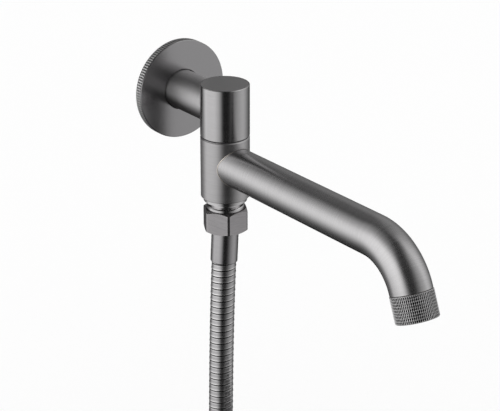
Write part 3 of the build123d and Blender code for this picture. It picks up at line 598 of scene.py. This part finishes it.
# each noise has a scale and a detail, and the range of it that becomes nought to one
scratches = {"coarse": (1.0, 2.0), "fine": (3.1, 3.0), "fineShare": 0.45, "tone": (0.3, 0.7)}
roundedEdge = {"samples": 4, "cosine": (0.995, 0.9)}
handling = {
    "patches": (55.0, 3.0),
    "patchTone": (0.4, 0.7),
    "specks": (620.0, 1.0),
    "speckTone": (0.72, 0.78),
}


def makeBrushedGrain():
    # long fine scratches: the vector comes in already stretched along the brushing
    tree, start, end = newGroup(
        "brushedGrain",
        [("Vector", "NodeSocketVector")],
        [("Tone", "NodeSocketFloat"), ("Height", "NodeSocketFloat")],
    )
    coarse = noiseNode(tree, start.outputs["Vector"], *scratches["coarse"])
    fine = noiseNode(tree, start.outputs["Vector"], *scratches["fine"])
    share = scratches["fineShare"]
    both = timesPlus(tree, coarse, 1 - share, mathNode(tree, "MULTIPLY", fine, share))
    link(tree, rangeNode(tree, both, *scratches["tone"]), end.inputs["Tone"])
    link(tree, both, end.inputs["Height"])
    return tree


def makeEdgeWear():
    # where the rounded normal leaves the flat one, the coating is thinner
    tree, start, end = newGroup("edgeWear", [("Width", "NodeSocketFloat")], [("Mask", "NodeSocketFloat")])
    rounded = tree.nodes.new("ShaderNodeBevel")
    rounded.samples = roundedEdge["samples"]
    link(tree, start.outputs["Width"], rounded.inputs["Radius"])
    geometry = tree.nodes.new("ShaderNodeNewGeometry")
    agreement = tree.nodes.new("ShaderNodeVectorMath")
    agreement.operation = "DOT_PRODUCT"
    link(tree, rounded.outputs["Normal"], agreement.inputs[0])
    link(tree, geometry.outputs["Normal"], agreement.inputs[1])
    link(tree, rangeNode(tree, agreement.outputs["Value"], *roundedEdge["cosine"]), end.inputs["Mask"])
    return tree


def makeHandling():
    # soft patches left by wiping and water, and specks
    tree, start, end = newGroup(
        "handlingMarks",
        [("Vector", "NodeSocketVector")],
        [("Mask", "NodeSocketFloat"), ("Specks", "NodeSocketFloat")],
    )
    patches = noiseNode(tree, start.outputs["Vector"], *handling["patches"])
    link(tree, rangeNode(tree, patches, *handling["patchTone"], smooth=True), end.inputs["Mask"])
    specks = noiseNode(tree, start.outputs["Vector"], *handling["specks"])
    link(tree, rangeNode(tree, specks, *handling["speckTone"]), end.inputs["Specks"])
    return tree


brushedGrain = makeBrushedGrain()
edgeWear = makeEdgeWear()
handlingMarks = makeHandling()


def grainNode(tree, vector):
    node = placeGroup(tree, brushedGrain)
    link(tree, vector, node.inputs["Vector"])
    return node


def wearMask(tree, width):
    node = placeGroup(tree, edgeWear)
    node.inputs["Width"].default_value = width
    return node.outputs["Mask"]


def objectVector(tree):
    return tree.nodes.new("ShaderNodeTexCoord").outputs["Object"]


def stretched(tree, perMetre, turn=(0, 0, 0)):
    # Object coordinates turned to the brushing, then scaled to so many waves per metre on each axis
    mapping = tree.nodes.new("ShaderNodeMapping")
    mapping.vector_type = "TEXTURE"
    mapping.inputs["Rotation"].default_value = turn
    mapping.inputs["Scale"].default_value = [1 / value for value in perMetre]
    link(tree, objectVector(tree), mapping.inputs["Vector"])
    return mapping.outputs["Vector"]


# waves per metre, along and across the strokes of the round pieces or on each axis, and turns in radians
brushing = {
    "long": 60.0,
    "fine": 1500.0,
    "face": (1800, 60, 160),
    "cover": (900, 120, 900),
    "coverTurn": (0, 0, 0.6),
    "nut": (90, 90, 1100),
    "nutTurn": (0.15, 0.15, 0),
}
longWaves, fineWaves = brushing["long"], brushing["fine"]


def aroundZ(tree):
    # brushed round an upright piece
    return stretched(tree, (longWaves, longWaves, fineWaves))


def aroundY(tree):
    # brushed round the arm
    return stretched(tree, (longWaves, fineWaves, longWaves))


def aroundTip(tree):
    # brushed round the tip, whose axis is turned from Z about X
    return stretched(tree, (longWaves, longWaves, fineWaves), (-math.pi / 2 - bendTurn, 0, 0))


def acrossFace(tree):
    # the flange's face: fine from side to side, long up and down
    return stretched(tree, brushing["face"])


def acrossCover(tree):
    # the head's top: long strokes, turned a little about Z
    return stretched(tree, brushing["cover"], brushing["coverTurn"])


def aroundNut(tree):
    # like an upright piece, but coarser and leaning a little
    return stretched(tree, brushing["nut"], brushing["nutTurn"])


def bendAngle(tree, place):
    # how far round the bend a point lies, nought in the straight part
    backward = mathNode(tree, "SUBTRACT", bendStartY * mm, place["Y"])
    upward = mathNode(tree, "SUBTRACT", place["Z"], bendMiddleZ * mm)
    angle = mathNode(tree, "ARCTAN2", backward, upward)
    return mathNode(tree, "MINIMUM", mathNode(tree, "MAXIMUM", angle, 0.0), bendTurn)


def spoutAxis(tree):
    # the direction of the spout's middle line beside a point
    angle = bendAngle(tree, splitVector(tree, objectVector(tree)))
    return joinVector(tree, 0.0, mathNode(tree, "COSINE", angle), mathNode(tree, "SINE", angle))


def aroundSpout(tree):
    # the second number is how far along the spout's middle line a point lies: straight, then by its
    # angle round the bend
    place = splitVector(tree, objectVector(tree))
    straight = mathNode(tree, "MULTIPLY", mathNode(tree, "MAXIMUM", place["Y"], bendStartY * mm), -1.0)
    along = timesPlus(tree, bendAngle(tree, place), spout["bendRadius"] * mm, straight)
    return joinVector(
        tree,
        mathNode(tree, "MULTIPLY", place["X"], longWaves),
        mathNode(tree, "MULTIPLY", along, fineWaves),
        mathNode(tree, "MULTIPLY", place["Z"], longWaves),
    )


def armAxis(tree):
    return joinVector(tree, 0.0, 1.0, 0.0)


def newMaterial(name):
    material = bpy.data.materials.new(name)
    material.use_nodes = True
    tree = material.node_tree
    return material, tree, tree.nodes["Principled BSDF"]


def shades(colour, spread):
    # the colour darkened and lightened by the same share
    return tuple(v * (1 - spread) for v in colour), tuple(min(1.0, v * (1 + spread)) for v in colour)


def addBump(tree, shader, height, strength, distance):
    bump = tree.nodes.new("ShaderNodeBump")
    bump.inputs["Strength"].default_value = strength
    bump.inputs["Distance"].default_value = distance
    link(tree, height, bump.inputs["Height"])
    link(tree, bump.outputs["Normal"], shader.inputs["Normal"])


gunmetal = {
    "colour": (0.455, 0.448, 0.452),
    "edgeColour": (0.66, 0.65, 0.64),
    "toneSpread": 0.05,
    "roughness": 0.17,
    "roughSpread": 0.05,
    "patches": 0.02,
    "edgeWidth": 0.00025,  # metres
    "wear": 0.45,
    "specks": 0.3,
    "bump": 0.35,
    "bumpDistance": 0.00002,
    "stretch": 0.8,  # where an axis is given: 0 shines alike both ways, 1 far more along the axis
}


def brushedMetal(name, vectorOf, axisOf=None, **changes):
    # dark plated metal, brushed one way: grain in colour, roughness and relief, wiped patches and
    # thin bright edges; changes are what differs from the plain gunmetal
    look = {**gunmetal, **changes}
    material, tree, shader = newMaterial(name)
    grain = grainNode(tree, vectorOf(tree))
    marks = placeGroup(tree, handlingMarks)
    link(tree, objectVector(tree), marks.inputs["Vector"])
    dark, light = shades(look["colour"], look["toneSpread"])
    colour = mixColours(tree, grain.outputs["Tone"], dark, light)
    speckled = mathNode(tree, "MULTIPLY", marks.outputs["Specks"], look["specks"])
    colour = mixColours(tree, speckled, colour, dark)
    worn = mathNode(tree, "MULTIPLY", wearMask(tree, look["edgeWidth"]), look["wear"])
    link(tree, mixColours(tree, worn, colour, look["edgeColour"]), shader.inputs["Base Color"])
    smoothest = look["roughness"] - look["roughSpread"] / 2
    rough = timesPlus(tree, grain.outputs["Tone"], look["roughSpread"], smoothest)
    link(tree, timesPlus(tree, marks.outputs["Mask"], look["patches"], rough), shader.inputs["Roughness"])
    addBump(tree, shader, grain.outputs["Height"], look["bump"], look["bumpDistance"])
    shader.inputs["Metallic"].default_value = 1.0
    if axisOf is not None:
        # turned pieces spread their light along their axis, across the fine grooves
        shader.inputs["Anisotropic"].default_value = look["stretch"]
        turned = tree.nodes.new("ShaderNodeVectorTransform")
        turned.vector_type = "VECTOR"
        turned.convert_from, turned.convert_to = "OBJECT", "WORLD"
        link(tree, axisOf(tree), turned.inputs["Vector"])
        link(tree, turned.outputs["Vector"], shader.inputs["Tangent"])
    return material


roundColumn = brushedMetal("gunmetalColumn", aroundZ)
roundBody = brushedMetal("gunmetalBody", aroundZ, roughness=0.33, toneSpread=0.08)
roundArm = brushedMetal("gunmetalArm", aroundY, armAxis, roughness=0.38, stretch=0.82)
flatBrushed = brushedMetal(
    "gunmetalFace", acrossFace, colour=(0.38, 0.374, 0.38), roughness=0.22, toneSpread=0.03
)
spoutBrushed = brushedMetal(
    "gunmetalSpout", aroundSpout, spoutAxis, roughness=0.25, stretch=0.5, toneSpread=0.07
)
coverBrushed = brushedMetal("gunmetalCover", acrossCover, roughness=0.3)
tipBrushed = brushedMetal("gunmetalTip", aroundTip)
nutFinish = brushedMetal(
    "gunmetalNut",
    aroundNut,
    colour=(0.362, 0.35, 0.358),
    toneSpread=0.14,
    roughness=0.28,
    edgeWidth=0.0004,
    wear=0.7,
)
ferruleFinish = brushedMetal("gunmetalFerrule", aroundZ, colour=(0.38, 0.372, 0.38), roughness=0.21)
neckFinish = brushedMetal("gunmetalNeck", aroundZ, colour=(0.56, 0.55, 0.555), roughness=0.15)
print("gunmetal finishes made")

knurl = {
    "dark": (0.55, 0.545, 0.55),
    "light": (0.7, 0.695, 0.7),
    "crest": (1.0, 0.99, 0.99),
    # painted shade: the near black colour of the pits, standing in for the shade that falls in them
    "pitShade": (0.01, 0.01, 0.01),
    "pitShadeEdge": (0.1, 0.5),  # shares of the cut's depth between which the tone goes from crest to the painted shade of the pits
    "grain": 900,
    "edgeWidth": 0.0002,
    "wear": 0.6,
    "roughness": 0.36,
    "roughSpread": 0.1,
}


def knurledMetal(name, look, depth):
    # cut metal: mottled, with bright crests, and shade painted dark into the colour where the mesh is cut in
    material, tree, shader = newMaterial(name)
    hollow = tree.nodes.new("ShaderNodeAttribute")
    hollow.attribute_name = "hollow"
    # painted shade: the deeper a point lies in a pit, the closer its colour comes to the pits' dark shade
    cut = rangeNode(tree, hollow.outputs["Fac"], *(depth * share for share in look["pitShadeEdge"]))
    tone = grainNode(tree, stretched(tree, (look["grain"],) * 3)).outputs["Tone"]
    colour = mixColours(tree, tone, look["dark"], look["light"])
    worn = mathNode(tree, "MULTIPLY", wearMask(tree, look["edgeWidth"]), look["wear"])
    colour = mixColours(tree, worn, colour, look["crest"])
    link(tree, mixColours(tree, cut, colour, look["pitShade"]), shader.inputs["Base Color"])
    link(tree, timesPlus(tree, tone, look["roughSpread"], look["roughness"]), shader.inputs["Roughness"])
    shader.inputs["Metallic"].default_value = 1.0
    return material


knurledFinish = knurledMetal("gunmetalKnurled", knurl, collar["depth"])
rimLook = {**knurl, "dark": (0.6, 0.595, 0.6), "light": (0.75, 0.745, 0.75)}
rimFinish = knurledMetal("gunmetalRim", rimLook, flange["depth"])

strip = {
    "dark": (0.38, 0.375, 0.38),
    "light": (0.46, 0.455, 0.46),
    # painted highlight: the light colour of the lip, standing in for the shine on it
    "lip": (0.78, 0.77, 0.77),
    "seam": (0.015, 0.015, 0.015),
    "grain": 700,
    "roughness": 0.24,
    "roughSpread": 0.08,
    # shares of a rib: the seam's fade on either side of its start, then where the lip's painted highlight
    # begins and ends
    "seamFade": (0.13, 0.06),
    "lipRise": (0.72, 0.8),
    "lipFall": (0.95, 0.9),
}


def hoseStrip(name, look):
    # wound strip: the seam between ribs is dark, and a highlight is painted light on the lip above it; a
    # rib's own share of the pitch is the fraction of the UV map's second number
    material, tree, shader = newMaterial(name)
    coordinates = tree.nodes.new("ShaderNodeTexCoord")
    share = mathNode(tree, "FRACT", splitVector(tree, coordinates.outputs["UV"])["Y"])
    shifted = mathNode(tree, "FRACT", mathNode(tree, "ADD", share, 0.5))
    fromSeam = mathNode(tree, "ABSOLUTE", mathNode(tree, "SUBTRACT", shifted, 0.5))
    tone = grainNode(tree, stretched(tree, (look["grain"],) * 3)).outputs["Tone"]
    colour = mixColours(tree, tone, look["dark"], look["light"])
    # painted highlight on the lip, between where it rises and where it falls
    highlightRise, highlightFall = rangeNode(tree, share, *look["lipRise"]), rangeNode(tree, share, *look["lipFall"])
    colour = mixColours(tree, mathNode(tree, "MULTIPLY", highlightRise, highlightFall), colour, look["lip"])
    colour = mixColours(tree, rangeNode(tree, fromSeam, *look["seamFade"]), colour, look["seam"])
    link(tree, colour, shader.inputs["Base Color"])
    link(tree, timesPlus(tree, tone, look["roughSpread"], look["roughness"]), shader.inputs["Roughness"])
    shader.inputs["Metallic"].default_value = 1.0
    return material


hoseFinish = hoseStrip("woundStrip", strip)

drawn = {"spread": 0.06, "grain": 800, "roughSpread": 0.12}
braze = {
    "filler": (0.95, 0.88, 0.8),
    # painted shade: the dark colour on the far side of the joint, darker than the plating
    "shadedPlating": (0.16, 0.155, 0.155),
    "roughness": 0.3,
    "fadeStart": -8.0,  # mm across the spout, the bright filler colour in full beyond it, on the lit side
    "fadeEnd": -1.0,
}


def litAndShadedSide(tree, colour):
    # the bright filler colour, partly the filler's own warm tone and partly a painted highlight, shows on
    # the lit side of the joint and fades into painted shade, darker than the plating, towards the other
    across = splitVector(tree, objectVector(tree))["X"]
    litShare = rangeNode(tree, across, braze["fadeEnd"] * mm, braze["fadeStart"] * mm, smooth=True)
    return mixColours(tree, litShare, braze["shadedPlating"], colour)


def plainMetal(name, colour, roughness, coverOf=None):
    # machined or drawn metal: mottled tone and roughness, and what coverOf lays over its colour
    material, tree, shader = newMaterial(name)
    tone = grainNode(tree, stretched(tree, (drawn["grain"],) * 3)).outputs["Tone"]
    mottled = mixColours(tree, tone, *shades(colour, drawn["spread"]))
    link(tree, coverOf(tree, mottled) if coverOf else mottled, shader.inputs["Base Color"])
    link(tree, timesPlus(tree, tone, drawn["roughSpread"], roughness), shader.inputs["Roughness"])
    shader.inputs["Metallic"].default_value = 1.0
    return material


moulded = {
    "spread": 0.08,
    "roughSpread": 0.06,
    "grain": 900,
    "detail": 3.0,
    "roughTone": (0.2, 0.8),
    "bump": 0.2,
    "bumpDistance": 0.00005,
}


def mouldedPlastic(name, colour, roughness, **changes):
    # moulded or pressed pieces: slight mottle, fine orange-peel relief
    look = {**moulded, **changes}
    material, tree, shader = newMaterial(name)
    speck = noiseNode(tree, objectVector(tree), look["grain"], look["detail"])
    link(tree, mixColours(tree, speck, *shades(colour, look["spread"])), shader.inputs["Base Color"])
    low, high = roughness - look["roughSpread"], roughness + look["roughSpread"]
    link(tree, rangeNode(tree, speck, *look["roughTone"], low, high), shader.inputs["Roughness"])
    addBump(tree, shader, speck, look["bump"], look["bumpDistance"])
    return material


brass = plainMetal("machinedBrass", (0.66, 0.5, 0.27), 0.28)
brazeLine = plainMetal("brazeLine", braze["filler"], braze["roughness"], litAndShadedSide)
springSteel = plainMetal("springSteel", (0.56, 0.55, 0.54), 0.22)
rubber = mouldedPlastic("sealRubber", (0.018, 0.018, 0.018), 0.55)
foam = mouldedPlastic("foamRing", (0.07, 0.07, 0.075), 0.85, spread=0.35, grain=1500, bump=0.8)
whitePlastic = mouldedPlastic("whitePlastic", (0.78, 0.77, 0.74), 0.4)
darkPlastic = mouldedPlastic("darkPlastic", (0.03, 0.03, 0.032), 0.42)
ceramic = mouldedPlastic("ceramicDisc", (0.8, 0.78, 0.73), 0.18, spread=0.03, grain=1200, bump=0.05)

seals = [
    "head_cap_oring",
    "flange_oring",
    "swivel_oring_upper",
    "swivel_oring_lower",
    "check_valve_seal",
    "hose_washer",
    "handset_washer",
    "tip_oring",
    "aerator_washer",
]
nodeFinishes = [
    (roundColumn, ["head_shell", "handset_nut"]),
    (coverBrushed, ["head_cap"]),
    (roundBody, ["lower_body"]),
    (neckFinish, ["outlet_nipple"]),
    (spoutBrushed, ["spout_tube"]),
    (nutFinish, ["hose_nut"]),
    (ferruleFinish, ["hose_ferrule", "end_ferrule"]),
    (tipBrushed, ["aerator_body"]),
    (brass, ["swivel_spigot", "tip_sleeve", "disc_carrier", "hose_tailpiece", "end_tailpiece"]),
    (springSteel, ["retaining_clip", "collar_clip"]),
    (rubber, seals),
    (foam, ["flange_gasket"]),
    (whitePlastic, ["thrust_washer", "check_valve_body"]),
    (darkPlastic, ["glide_ring", "check_poppet", "aerator_screen", "coil_tie_upper", "coil_tie_lower"]),
    (ceramic, ["fixed_disc", "turning_disc"]),
]
for finish, names in nodeFinishes:
    for name in names:
        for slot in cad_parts[name].material_slots:
            slot.material = finish
for piece, finish in (
    (hose, hoseFinish),
    (knurledCollar, knurledFinish),
    (flangePlate, flatBrushed),
    (wallArm, roundArm),
    (spoutBead, brazeLine),
    (armBead, roundArm),
    (checkSpring, springSteel),
):
    piece.data.materials.append(finish)
# the flange's rim is cut like the collar, so its faces take the second material
flangePlate.data.materials.append(rimFinish)
centres = np.empty(len(flangeMesh.polygons) * 3)
flangeMesh.polygons.foreach_get("center", centres)
centres = centres.reshape(-1, 3) / mm
rimRadius = flange["radius"] - flange["depth"] - flange["rimMargin"]
onRim = np.hypot(centres[:, 0], centres[:, 2]) > rimRadius
onRim &= centres[:, 1] > bevel - flange["thickness"]
flangeMesh.polygons.foreach_set("material_index", onRim.astype(np.int32))
print("finishes placed on", sum(len(names) for _, names in nodeFinishes), "nodes")

# Studio: a pale floor, an even light, and what the metal mirrors

studio = {
    "background": (1.0, 1.0, 1.0),
    "base": 0.02,  # what metal mirrors where no patch is lit
    "floor": (0.99, 0.99, 0.99),
    "floorSpread": 0.005,
    "floorRoughness": 0.9,
    "floorCloud": (3.0, 2.0),  # scale and detail of its faint mottle
    "floorHalf": 4.0,  # metres
    "floorSquares": 8,
    "floorGap": 0.0005,
    # lit patches: azimuth, its half width and softness, height, its half height and softness, strength
    "boxes": {
        "leftWindow": (155, 42, 16, 15, 24, 56, 1.4),
        "leftUpper": (172, 28, 12, 27, 8, 24, 1.1),
        "leftLower": (172, 44, 12, -8, 21, 20, 1.0),
        "frontWindow": (-45, 35, 33, 12, 54, 14, 0.8),
        "sideUpper": (-16, 22, 19, 40, 54, 12, 0.2),
        "sideFill": (5, 48, 12, 21, 29, 50, 0.38),
        "wallGlow": (107, 31, 12, -19, 25, 12, 0.2),
        "ceiling": (33, 67, 33, 59, 38, 13, 0.15),
    },
}
boxAngles = ("Azimuth", "Half width", "Width softness", "Height", "Half height", "Height softness")


def makeSoftBox():
    # one lit patch of the studio: a soft-edged window in azimuth and height
    numbers = [(label, "NodeSocketFloat") for label in (*boxAngles, "Strength")]
    inputs = [("Direction", "NodeSocketVector")] + numbers
    tree, start, end = newGroup("softBox", inputs, [("Light", "NodeSocketFloat")])
    take = start.outputs
    turn = tree.nodes.new("ShaderNodeVectorRotate")
    turn.rotation_type = "Z_AXIS"
    link(tree, take["Direction"], turn.inputs["Vector"])
    link(tree, mathNode(tree, "MULTIPLY", take["Azimuth"], -1.0), turn.inputs["Angle"])
    place = splitVector(tree, turn.outputs["Vector"])
    across = mathNode(tree, "ABSOLUTE", mathNode(tree, "ARCTAN2", place["Y"], place["X"]))
    height = mathNode(tree, "ARCSINE", place["Z"])
    up = mathNode(tree, "ABSOLUTE", mathNode(tree, "SUBTRACT", height, take["Height"]))

    def window(value, half, soft):
        # full inside, none outside, smooth between
        outer, inner = mathNode(tree, "ADD", half, soft), mathNode(tree, "SUBTRACT", half, soft)
        return rangeNode(tree, value, outer, inner, smooth=True)

    wide = window(across, take["Half width"], take["Width softness"])
    tall = window(up, take["Half height"], take["Height softness"])
    lit = mathNode(tree, "MULTIPLY", wide, tall)
    link(tree, mathNode(tree, "MULTIPLY", lit, take["Strength"]), end.inputs["Light"])
    return tree


def makeStudioWorld(s):
    # metal and glass see the lit patches, everything else an even white
    world = bpy.data.worlds.new("studio")
    world.use_nodes = True
    tree = world.node_tree
    tree.nodes.clear()
    output = tree.nodes.new("ShaderNodeOutputWorld")
    direction = tree.nodes.new("ShaderNodeTexCoord").outputs["Generated"]
    softBox = makeSoftBox()
    total = s["base"]
    for *angles, strength in s["boxes"].values():
        patch = placeGroup(tree, softBox)
        link(tree, direction, patch.inputs["Direction"])
        for label, degrees in zip(boxAngles, angles):
            patch.inputs[label].default_value = math.radians(degrees)
        patch.inputs["Strength"].default_value = strength
        total = mathNode(tree, "ADD", patch.outputs["Light"], total)
    mirrored = tree.nodes.new("ShaderNodeBackground")
    link(tree, total, mirrored.inputs["Strength"])
    plain = tree.nodes.new("ShaderNodeBackground")
    feed(tree, plain.inputs["Color"], s["background"])
    path = tree.nodes.new("ShaderNodeLightPath")
    glossy = mathNode(tree, "MAXIMUM", path.outputs["Is Glossy Ray"], path.outputs["Is Transmission Ray"])
    choose = tree.nodes.new("ShaderNodeMixShader")
    link(tree, glossy, choose.inputs[0])
    link(tree, plain.outputs[0], choose.inputs[1])
    link(tree, mirrored.outputs[0], choose.inputs[2])
    link(tree, choose.outputs[0], output.inputs["Surface"])
    bpy.context.scene.world = world


makeStudioWorld(studio)


def makeFloor(s):
    # a flat grid of squares just below the part
    count = s["floorSquares"]
    side = np.linspace(-s["floorHalf"], s["floorHalf"], count + 1)
    x, y = np.meshgrid(side, side, indexing="ij")
    points = np.stack([x.ravel(), y.ravel(), np.full(x.size, cadBox[0][2] - s["floorGap"])], axis=1)
    r, c = np.meshgrid(np.arange(count), np.arange(count), indexing="ij")
    first = (r * (count + 1) + c).ravel()
    squares = np.stack([first, first + count + 1, first + count + 2, first + 1], axis=1)
    mesh = bpy.data.meshes.new("floor")
    mesh.from_pydata(points.tolist(), [], squares.tolist())
    floor = bpy.data.objects.new("floor", mesh)
    bpy.context.scene.collection.objects.link(floor)
    material, tree, shader = newMaterial("paleFloor")
    cloud = noiseNode(tree, objectVector(tree), *s["floorCloud"])
    darker, _ = shades(s["floor"], s["floorSpread"])
    link(tree, mixColours(tree, cloud, s["floor"], darker), shader.inputs["Base Color"])
    shader.inputs["Roughness"].default_value = s["floorRoughness"]
    shader.inputs["Specular IOR Level"].default_value = 0.0
    mesh.materials.append(material)
    floor.visible_glossy = False  # the metal mirrors the studio, not the floor's edge


makeFloor(studio)
print("studio made")
